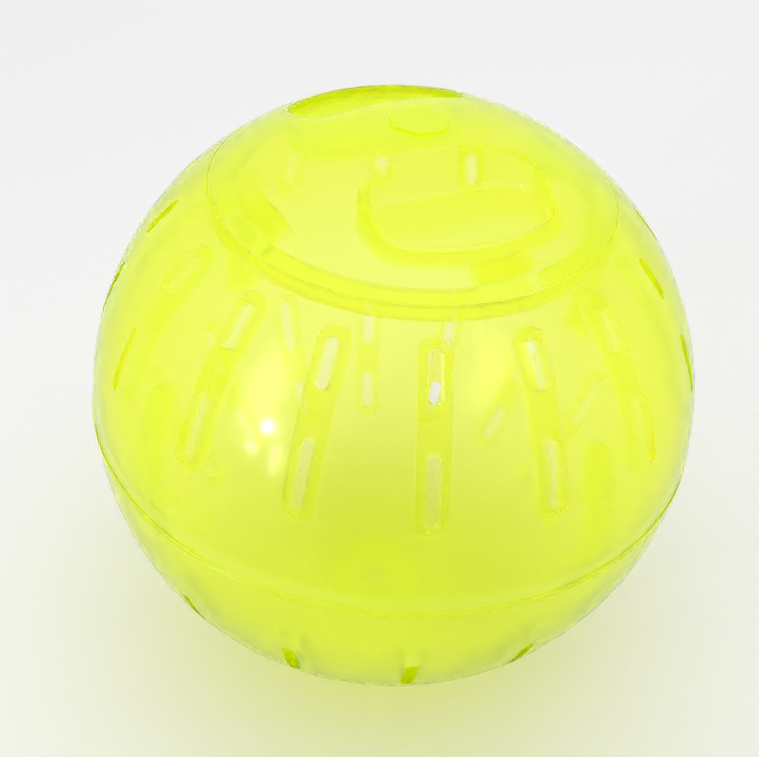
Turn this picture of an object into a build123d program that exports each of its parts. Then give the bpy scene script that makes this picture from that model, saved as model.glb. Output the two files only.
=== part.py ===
"""Small hamster ball: two vented half shells that snap together, and a lift-out lid.

Millimetres, +Z up. The origin is the centre of the flat foot on which the ball stands.
Latitudes are degrees above the seam between the halves. Turns are degrees about the upright
axis, counted from +X, so the front of the ball, at -Y, is at a turn of -90.
"""

import os
from math import acos, asin, cos, degrees, radians, sin, sqrt

from build123d import *

# Ball
outer_radius = 60.0
wall = 1.6
fit_gap = 0.3
cut_overrun = 3.0

# Flat foot at the lower pole, with a stiffening ring inside
foot_radius = 7.0
foot_ring_radius = 11.0
foot_ring_bore = 3.7
foot_ring_height = 3.0

# Seam between the halves
seam_gap = 0.1
bead_height = 0.9
bead_rise = 0.3
bead_chamfer = 0.2
lap_height = 3.0
lap_thickness = 0.8
lap_gap = 0.1

# Vent columns, from a margin above the seam to a margin below the mouth
column_count = 16
column_width = 5.6
column_depth = 1.9
column_seam_margin = 15.7
column_mouth_margin = 5.2
slot_width = 2.5
slot_span_shares = [(0.05, 0.44), (0.69, 0.95)]

# Mouth, and the seat that steps in under the edge of the lid
mouth_radius = 37.0
seat_width = 3.6
seat_thickness = 2.8
seat_step_drops = (0.8, 2.2)

# Snap tongues of the lower half
tongue_count = 4
tongue_pitch_share = 1.5
tongue_thickness = 2.6
tongue_gap = 0.2
tongue_root_width = 8.0
tongue_root_drop = 9.4
tongue_tip_width = 5.0
tongue_tip_round = 2.2
tongue_rise = 23.4
catch_height = 16.0
catch_thickness = 2.5
catch_width = 3.4
catch_rise = 0.6

# Lid with two finger wells and the grip bar between them
bar_turn = -70.0
bar_width = 19.2
well_length = 32.0
well_edge_depth = 2.5
well_round = 6.0
well_round_share = 0.45
well_floor_round = 1.2
well_brim_round = 0.6
boss_radius = 5.3
boss_rise = 0.4
boss_depth = 0.9

# Lugs of the lid, and their notches in the seat
lug_count = 4
lug_turn = -66.0
lug_span = 20.0
lug_post_gap = 0.7
lug_post_thickness = 4.5
lug_foot_reach = 3.2
lug_foot_thickness = 1.6
notch_margin = 0.6

# Worked-out places
center_height = sqrt(outer_radius**2 - foot_radius**2)
ball_center = (0, 0, center_height)
inner_radius = outer_radius - wall
middle_radius = outer_radius - wall / 2
column_pitch = 360 / column_count
tongue_turn = -90 + tongue_pitch_share * column_pitch


def arc_angle(length):
    """The angle that this length takes up along the outside of the ball."""
    return degrees(length / outer_radius)


mouth_latitude = degrees(acos(mouth_radius / outer_radius))
seat_latitude = mouth_latitude + arc_angle(seat_width)
seat_radius = inner_radius - fit_gap
seat_under_radius = seat_radius - seat_thickness
column_low_latitude = arc_angle(column_seam_margin)
column_high_latitude = mouth_latitude - arc_angle(column_mouth_margin)
tongue_outer_radius = inner_radius - tongue_gap
tongue_inner_radius = tongue_outer_radius - tongue_thickness
lug_top_radius = seat_under_radius - fit_gap
lug_low_radius = lug_top_radius - lug_foot_thickness
lug_post_low = seat_latitude + arc_angle(lug_post_gap)
lug_post_high = lug_post_low + arc_angle(lug_post_thickness)
lug_foot_low = lug_post_low - arc_angle(lug_foot_reach)
well_reach = inner_radius * cos(radians(lug_post_high)) - wall / 2
well_floor_height = sqrt(outer_radius**2 - well_reach**2) - well_edge_depth
well_side = sqrt(well_reach**2 - (well_length / 2) ** 2) - bar_width / 2
well_corner = min(well_round, well_side * well_round_share)
notch_low = mouth_latitude + arc_angle(fit_gap)
notch_span = lug_span + 2 * degrees(notch_margin / mouth_radius)


def polar(radius, latitude):
    """A point of an upright section, at this distance from the ball's centre."""
    return radius * cos(radians(latitude)), radius * sin(radians(latitude))


def section_plane(turn):
    """The upright section at this turn: x points outward and y points up."""
    across, along = cos(radians(turn)), sin(radians(turn))
    return Plane(origin=ball_center, x_dir=(across, along, 0), z_dir=(along, -across, 0))


def tangent_plane(latitude):
    """The plane that touches the ball at this latitude, in the section at no turn."""
    outward, up = polar(outer_radius, latitude)
    return Plane(origin=(outward, 0, center_height + up), x_dir=(0, 1, 0), z_dir=(outward, 0, up))


def level_plane(height, turn=0):
    """A level plane at this height above the ball's centre, with x at this turn."""
    x_dir = (cos(radians(turn)), sin(radians(turn)), 0)
    return Plane(origin=(0, 0, center_height + height), x_dir=x_dir)


def band_outline(low_radius, high_radius, low_latitude, high_latitude):
    """The outline, in an upright section, of a band between two spheres and two latitudes."""
    rise = high_latitude - low_latitude
    with BuildSketch() as outline:
        with BuildLine():
            outer = CenterArc((0, 0), high_radius, low_latitude, rise)
            inner = CenterArc((0, 0), low_radius, low_latitude, rise)
            Line(outer @ 0, inner @ 0)
            Line(outer @ 1, inner @ 1)
        make_face()
    return outline.sketch


def band_block(low_radius, high_radius, low_latitude, high_latitude, span):
    """A block of a band, centred on no turn."""
    with BuildPart() as block:
        with BuildSketch(section_plane(-span / 2)):
            add(band_outline(low_radius, high_radius, low_latitude, high_latitude))
        revolve(axis=Axis.Z, revolution_arc=span)
    return block.part


def column_pad(side):
    """The pad inside one vent column, on the upper half (1) or the lower half (-1)."""
    middle = side * (column_low_latitude + column_high_latitude) / 2
    half_span = (column_high_latitude - column_low_latitude) / 2
    with BuildPart() as pad:
        with BuildSketch(tangent_plane(middle)):
            SlotOverall(2 * outer_radius * sin(radians(half_span)), column_width, rotation=90)
        extrude(amount=-outer_radius)
        with Locations(ball_center):
            Sphere(middle_radius, mode=Mode.INTERSECT)
            Sphere(inner_radius - column_depth, mode=Mode.SUBTRACT)
    return pad.part


def column_slots(side):
    """The two slots of one vent column, as the space that they leave."""
    column_span = column_high_latitude - column_low_latitude
    with BuildPart() as slots:
        for low_share, high_share in slot_span_shares:
            middle = column_low_latitude + column_span * (low_share + high_share) / 2
            half_span = column_span * (high_share - low_share) / 2
            with BuildSketch(tangent_plane(side * middle)):
                SlotOverall(2 * outer_radius * sin(radians(half_span)), slot_width, rotation=90)
            extrude(amount=wall + column_depth + cut_overrun, both=True)
    return slots.part


def seam_bead(low, high):
    """The ring that thickens the rim of a half, between two heights above the ball's centre."""
    with BuildPart() as bead:
        with BuildSketch(section_plane(0)) as bead_section:
            with Locations((middle_radius, low)):
                Rectangle(wall / 2 + bead_rise, high - low, align=(Align.MIN, Align.MIN))
            chamfer(bead_section.vertices().group_by(Axis.X)[-1], bead_chamfer)
        revolve(axis=Axis.Z)
    return bead.part


def snap_tongue():
    """A tongue of the lower half, rising inside the upper half from a root on the lower wall."""
    low_latitude = -degrees(asin(tongue_root_drop / tongue_inner_radius)) - arc_angle(cut_overrun)
    high_latitude = degrees(asin(tongue_rise / tongue_inner_radius)) + arc_angle(cut_overrun)
    sweep = degrees(tongue_root_width / tongue_inner_radius)
    with BuildPart() as tongue:
        with BuildSketch(section_plane(-sweep)):
            add(band_outline(tongue_inner_radius, tongue_outer_radius, low_latitude, high_latitude))
            add(band_outline(tongue_inner_radius, inner_radius + lap_thickness / 2, low_latitude, 0))
        revolve(axis=Axis.Z, revolution_arc=2 * sweep)
        with BuildSketch(Plane(origin=ball_center, x_dir=(0, 1, 0), z_dir=(1, 0, 0))) as outline:
            with BuildLine():
                Polyline(
                    (-tongue_root_width / 2, -tongue_root_drop),
                    (tongue_root_width / 2, -tongue_root_drop),
                    (tongue_tip_width / 2, tongue_rise),
                    (-tongue_tip_width / 2, tongue_rise),
                    close=True,
                )
            make_face()
            fillet(outline.vertices().group_by(Axis.Y)[-1], tongue_tip_round)
        extrude(amount=outer_radius, mode=Mode.INTERSECT)
        add(snap_catch(0))
    return tongue.part


def snap_catch(margin):
    """The low rib on a tongue or, with a margin all round, the space that it snaps into."""
    low_radius = tongue_outer_radius - tongue_thickness / 2
    high_radius = tongue_outer_radius + catch_rise + margin
    low_latitude = arc_angle(catch_height - margin)
    high_latitude = arc_angle(catch_height + catch_thickness + margin)
    span = arc_angle(catch_width + 2 * margin)
    return band_block(low_radius, high_radius, low_latitude, high_latitude, span)


def well_outline(margin):
    """One finger well seen from above, or its outside: straight along the bar and round outward."""
    with BuildSketch() as outline:
        with Locations((bar_width / 2 - margin, 0)):
            Rectangle(well_reach, well_length + 2 * margin, align=(Align.MIN, Align.CENTER))
        Circle(well_reach + margin, mode=Mode.INTERSECT)
        fillet(outline.vertices(), well_corner + margin)
    return outline.sketch


# Upper half shell
with BuildPart() as upper_shell:
    with BuildSketch(section_plane(column_pitch / 2)):
        with BuildLine():
            step_high, step_low = [mouth_latitude - arc_angle(drop) for drop in seat_step_drops]
            outer = CenterArc((0, 0), outer_radius, 0, mouth_latitude)
            seat = CenterArc((0, 0), seat_radius, mouth_latitude, seat_latitude - mouth_latitude)
            under = CenterArc((0, 0), seat_under_radius, step_high, seat_latitude - step_high)
            inner = CenterArc((0, 0), inner_radius, 0, step_low)
            Line(outer @ 1, seat @ 0)
            Line(seat @ 1, under @ 1)
            Line(under @ 0, inner @ 1)
            Line(inner @ 0, outer @ 0)
        make_face()
    revolve(axis=Axis.Z)
    add(seam_bead(0, bead_height))
    with PolarLocations(0, column_count):
        add(column_pad(1))
    with PolarLocations(0, column_count):
        add(column_slots(1), mode=Mode.SUBTRACT)
    lug_notch = band_block(lug_low_radius, inner_radius, notch_low, lug_post_high, notch_span)
    with PolarLocations(0, lug_count, start_angle=lug_turn):
        add(lug_notch, mode=Mode.SUBTRACT)
    with BuildSketch(level_plane(0)):
        Circle(inner_radius + lap_thickness + lap_gap)
    extrude(amount=lap_height + lap_gap, mode=Mode.SUBTRACT)
    with PolarLocations(0, tongue_count, start_angle=tongue_turn):
        add(snap_catch(tongue_gap), mode=Mode.SUBTRACT)

# Lower half shell
with BuildPart() as lower_shell:
    with BuildSketch(section_plane(column_pitch / 2)):
        add(band_outline(inner_radius, outer_radius, -90, -arc_angle(seam_gap)))
    revolve(axis=Axis.Z)
    add(seam_bead(-bead_height, -seam_gap))
    with BuildSketch(level_plane(-lap_height)):
        Circle(inner_radius + lap_thickness)
        Circle(inner_radius, mode=Mode.SUBTRACT)
    extrude(amount=2 * lap_height)
    with PolarLocations(0, column_count):
        add(column_pad(-1))
    with BuildSketch(Plane.XY.offset(wall / 2)):
        Circle(foot_ring_radius)
        Circle(foot_ring_bore, mode=Mode.SUBTRACT)
    extrude(amount=foot_ring_height - wall / 2)
    with PolarLocations(0, tongue_count, start_angle=tongue_turn):
        add(snap_tongue())
    with PolarLocations(0, column_count):
        add(column_slots(-1), mode=Mode.SUBTRACT)
    with BuildSketch(Plane.XY):
        Circle(outer_radius)
    extrude(amount=-outer_radius, mode=Mode.SUBTRACT)

# Lid
with BuildPart() as lid:
    with BuildSketch(level_plane(well_floor_height - wall, bar_turn)):
        with PolarLocations(0, 2):
            add(well_outline(wall))
    extrude(amount=outer_radius)
    with Locations(ball_center):
        Sphere(middle_radius, mode=Mode.INTERSECT)
    with BuildSketch(section_plane(bar_turn + 90)):
        add(band_outline(inner_radius, outer_radius, mouth_latitude + arc_angle(fit_gap), 90))
    revolve(axis=Axis.Z)
    with BuildSketch(level_plane(inner_radius - boss_depth)):
        Circle(boss_radius)
    extrude(amount=boss_depth + wall + boss_rise)
    with BuildSketch(level_plane(well_floor_height, bar_turn)):
        with PolarLocations(0, 2):
            add(well_outline(0))
    extrude(amount=outer_radius, mode=Mode.SUBTRACT)
    floor = center_height + well_floor_height
    well_edges = lid.edges(Select.LAST)
    floor_edges = well_edges.filter_by_position(Axis.Z, floor, floor)
    brim_edges = well_edges.filter_by(Axis.Z, reverse=True) - floor_edges
    fillet(brim_edges, well_brim_round)
    fillet(floor_edges, well_floor_round)
    with PolarLocations(0, lug_count, start_angle=lug_turn):
        add(band_block(lug_low_radius, middle_radius, lug_post_low, lug_post_high, lug_span))
        add(band_block(lug_low_radius, lug_top_radius, lug_foot_low, lug_post_high, lug_span))

os.makedirs("parts", exist_ok=True)
upper_shell.part.label = "upper_shell"
export_step(upper_shell.part, "parts/upper_shell.step")
lower_shell.part.label = "lower_shell"
export_step(lower_shell.part, "parts/lower_shell.step")
lid.part.label = "lid"
export_step(lid.part, "parts/lid.step")
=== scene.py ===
"""Looks of the hamster ball: clear fluorescent lime plastic on a pale floor."""

from math import cos, radians, sin

import bpy
from mathutils import Matrix, Vector


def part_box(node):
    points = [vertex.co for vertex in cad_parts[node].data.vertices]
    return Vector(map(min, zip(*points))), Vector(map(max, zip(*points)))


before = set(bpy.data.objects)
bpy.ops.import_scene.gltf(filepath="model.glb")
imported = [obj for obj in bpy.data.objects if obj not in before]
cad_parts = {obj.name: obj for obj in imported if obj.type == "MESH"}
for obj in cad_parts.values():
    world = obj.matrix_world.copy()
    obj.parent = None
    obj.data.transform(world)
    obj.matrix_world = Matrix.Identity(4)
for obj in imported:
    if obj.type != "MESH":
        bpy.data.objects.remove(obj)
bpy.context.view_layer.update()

# Ball, in metres: its radius, and its centre in the plane of the seam
ball_radius = 0.06
ball_center = Vector((0, 0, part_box("upper_shell")[0].z))

# Camera, in pixels of the photograph, degrees and shares of the ball's radius
image_width = 759
image_height = 757
sensor_width = 36.0
focal_pixels = 1197.0
ball_pixel = (392.5, 384.4)
view_azimuth = -8.5
view_elevation = 39.7
view_roll = 5.8
view_distance_share = 4.1
clip_start_share = 0.1

# Floor, in metres
floor_reach = 2.4
floor_drop = 0.0002
floor_color = (0.88, 0.88, 0.882, 1)
floor_roughness = 0.8
floor_shine = 0.2

# Sky: its lowest strength, what its bright part adds, and where that part lies, in degrees
sky_color = (1, 1, 1, 1)
sky_base = 0.1
sky_key = 1.56
sky_key_azimuth = 188
sky_key_elevation = 78
sky_key_reach = 75

# Strength of the backdrop
backdrop = 0.9

# Lamps, in metres, degrees and watts: azimuth, elevation, width and height, and power of each
lamp_distance = 0.6
lamp_beam = 50
lamps = {
    "window": (-56.4, 20.5, (0.14, 0.38), 0.05),
    "lamp": (-49, 13.5, (0.025, 0.035), 0.022),
    "low_left_lamp": (-53, 4.6, (0.02, 0.025), 0.006),
    "low_right_lamp": (-44.2, 4.4, (0.01, 0.1), 0.008),
}

# Plastic: the tint of its faces, the colour and density of its walls, its haze and its ripples
face_tint = (0.99, 1.0, 0.99, 1)
cloud_tint = (0.97, 0.99, 0.92, 1)
cloud_scale = 30
wall_color = (0.99, 1.0, 0.1, 1)
wall_density = 505.0
haze = (0.28, 0.38)
haze_scale = 60
ripple_scale = 130
ripple_depth = 0.00006
plastic_values = {
    "Transmission Weight": 1.0,
    "IOR": 1.03,
    "Coat Weight": 0.9,
    "Coat Roughness": 0.14,
    "Coat IOR": 1.4,
    # Painted glow: a steady lime emission that stands in for fluorescence and brightens the
    # plastic, its shaded lower part and edges too
    "Emission Color": (0.6, 1.0, 0.0, 1),
    "Emission Strength": 0.02,
}


def toward(azimuth, elevation):
    """The direction at this azimuth, counted from the front of the ball, and elevation."""
    azimuth, elevation = radians(azimuth), radians(elevation)
    return Vector((sin(azimuth) * cos(elevation), -cos(azimuth) * cos(elevation), sin(elevation)))


def make_camera():
    """A camera that puts the ball's centre at its pixel, with the photograph's roll."""
    back = toward(view_azimuth, view_elevation)
    right = Vector((cos(radians(view_azimuth)), sin(radians(view_azimuth)), 0))
    up = back.cross(right)
    roll = radians(view_roll)
    right, up = cos(roll) * right + sin(roll) * up, cos(roll) * up - sin(roll) * right
    across = (ball_pixel[0] - (image_width - 1) / 2) / focal_pixels
    down = (ball_pixel[1] - (image_height - 1) / 2) / focal_pixels
    turn = Matrix.Rotation(across, 3, up) @ Matrix.Rotation(down, 3, right)
    axes = [turn @ axis for axis in (right, up, back)]
    data = bpy.data.cameras.new("camera")
    data.sensor_width = sensor_width
    data.lens = focal_pixels * sensor_width / image_width
    data.clip_start = ball_radius * clip_start_share
    camera = bpy.data.objects.new("camera", data)
    pose = Matrix(axes).transposed().to_4x4()
    pose.translation = ball_center + back * ball_radius * view_distance_share
    camera.matrix_world = pose
    bpy.context.collection.objects.link(camera)
    bpy.context.scene.camera = camera


def make_plastic():
    """Clear lime plastic with a faint painted glow that stands in for fluorescence and brightens
    its shaded parts, and moulding marks.
    """
    material = bpy.data.materials.new("lime_plastic")
    material.use_nodes = True
    nodes, links = material.node_tree.nodes, material.node_tree.links
    shader = nodes["Principled BSDF"]
    for name, value in plastic_values.items():
        shader.inputs[name].default_value = value
    volume = nodes.new("ShaderNodeVolumeAbsorption")
    volume.inputs["Color"].default_value = wall_color
    volume.inputs["Density"].default_value = wall_density
    links.new(volume.outputs["Volume"], nodes["Material Output"].inputs["Volume"])
    place = nodes.new("ShaderNodeTexCoord")

    def noise(scale):
        texture = nodes.new("ShaderNodeTexNoise")
        texture.inputs["Scale"].default_value = scale
        links.new(place.outputs["Object"], texture.inputs["Vector"])
        return texture.outputs["Fac"]

    tint = nodes.new("ShaderNodeMix")
    tint.data_type = "RGBA"
    tint.inputs["A"].default_value = face_tint
    tint.inputs["B"].default_value = cloud_tint
    links.new(noise(cloud_scale), tint.inputs["Factor"])
    links.new(tint.outputs["Result"], shader.inputs["Base Color"])
    spread = nodes.new("ShaderNodeMapRange")
    spread.inputs["To Min"].default_value, spread.inputs["To Max"].default_value = haze
    links.new(noise(haze_scale), spread.inputs["Value"])
    links.new(spread.outputs["Result"], shader.inputs["Roughness"])
    ripple = nodes.new("ShaderNodeBump")
    ripple.inputs["Distance"].default_value = ripple_depth
    links.new(noise(ripple_scale), ripple.inputs["Height"])
    for name in ("Normal", "Coat Normal"):
        links.new(ripple.outputs["Normal"], shader.inputs[name])
    return material


def make_floor():
    """A pale floor that fills the view."""
    ends = (-floor_reach, floor_reach)
    corners = [(x, y, -floor_drop) for x in ends for y in ends]
    mesh = bpy.data.meshes.new("floor")
    mesh.from_pydata(corners, [], [(0, 2, 3, 1)])
    floor = bpy.data.objects.new("floor", mesh)
    bpy.context.collection.objects.link(floor)
    material = bpy.data.materials.new("floor")
    material.use_nodes = True
    shader = material.node_tree.nodes["Principled BSDF"]
    shader.inputs["Base Color"].default_value = floor_color
    shader.inputs["Roughness"].default_value = floor_roughness
    shader.inputs["Specular IOR Level"].default_value = floor_shine
    mesh.materials.append(material)


def make_lamp(name, azimuth, elevation, size, power):
    """An area lamp that faces the ball, with a beam that stays off the floor before it."""
    outward = toward(azimuth, elevation)
    data = bpy.data.lights.new(name, "AREA")
    data.shape = "RECTANGLE"
    data.size, data.size_y = size
    data.energy = power
    data.spread = radians(lamp_beam)
    lamp = bpy.data.objects.new(name, data)
    lamp.location = ball_center + outward * lamp_distance
    lamp.rotation_mode = "QUATERNION"
    lamp.rotation_quaternion = outward.to_track_quat("Z", "Y")
    bpy.context.collection.objects.link(lamp)


def make_world():
    """A sky that is brightest above the ball, and a plain pale backdrop to look at."""
    world = bpy.data.worlds.new("world")
    world.use_nodes = True
    nodes, links = world.node_tree.nodes, world.node_tree.links
    background = nodes["Background"]
    background.inputs["Color"].default_value = sky_color
    coordinates = nodes.new("ShaderNodeTexCoord")
    facing = nodes.new("ShaderNodeVectorMath")
    facing.operation = "DOT_PRODUCT"
    facing.inputs[1].default_value = toward(sky_key_azimuth, sky_key_elevation)
    links.new(coordinates.outputs["Generated"], facing.inputs[0])
    ramp = nodes.new("ShaderNodeMapRange")
    ramp.interpolation_type = "SMOOTHSTEP"
    ramp.inputs["From Min"].default_value = cos(radians(sky_key_reach))
    ramp.inputs["From Max"].default_value = 1
    ramp.inputs["To Min"].default_value = sky_base
    ramp.inputs["To Max"].default_value = sky_base + sky_key
    links.new(facing.outputs["Value"], ramp.inputs["Value"])

    # The backdrop is seen directly, in the gloss and through the plastic
    path = nodes.new("ShaderNodeLightPath")
    looking = path.outputs["Is Camera Ray"]
    for name in ("Is Glossy Ray", "Is Transmission Ray"):
        either = nodes.new("ShaderNodeMath")
        either.operation = "MAXIMUM"
        links.new(looking, either.inputs[0])
        links.new(path.outputs[name], either.inputs[1])
        looking = either.outputs["Value"]

    # It lights no floor, so light that has left a dull face comes from the sky
    direct = nodes.new("ShaderNodeMath")
    direct.operation = "LESS_THAN"
    direct.inputs[1].default_value = 1
    links.new(path.outputs["Diffuse Depth"], direct.inputs[0])
    seen = nodes.new("ShaderNodeMath")
    seen.operation = "MULTIPLY"
    links.new(looking, seen.inputs[0])
    links.new(direct.outputs["Value"], seen.inputs[1])
    shown = nodes.new("ShaderNodeMix")
    shown.inputs["B"].default_value = backdrop
    links.new(seen.outputs["Value"], shown.inputs["Factor"])
    links.new(ramp.outputs["Result"], shown.inputs["A"])
    links.new(shown.outputs["Result"], background.inputs["Strength"])
    bpy.context.scene.world = world


bpy.context.scene.view_settings.view_transform = "Standard"
make_camera()
make_floor()
make_world()
for name, values in lamps.items():
    make_lamp(name, *values)
plastic = make_plastic()
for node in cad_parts.values():
    node.data.materials[0] = plastic
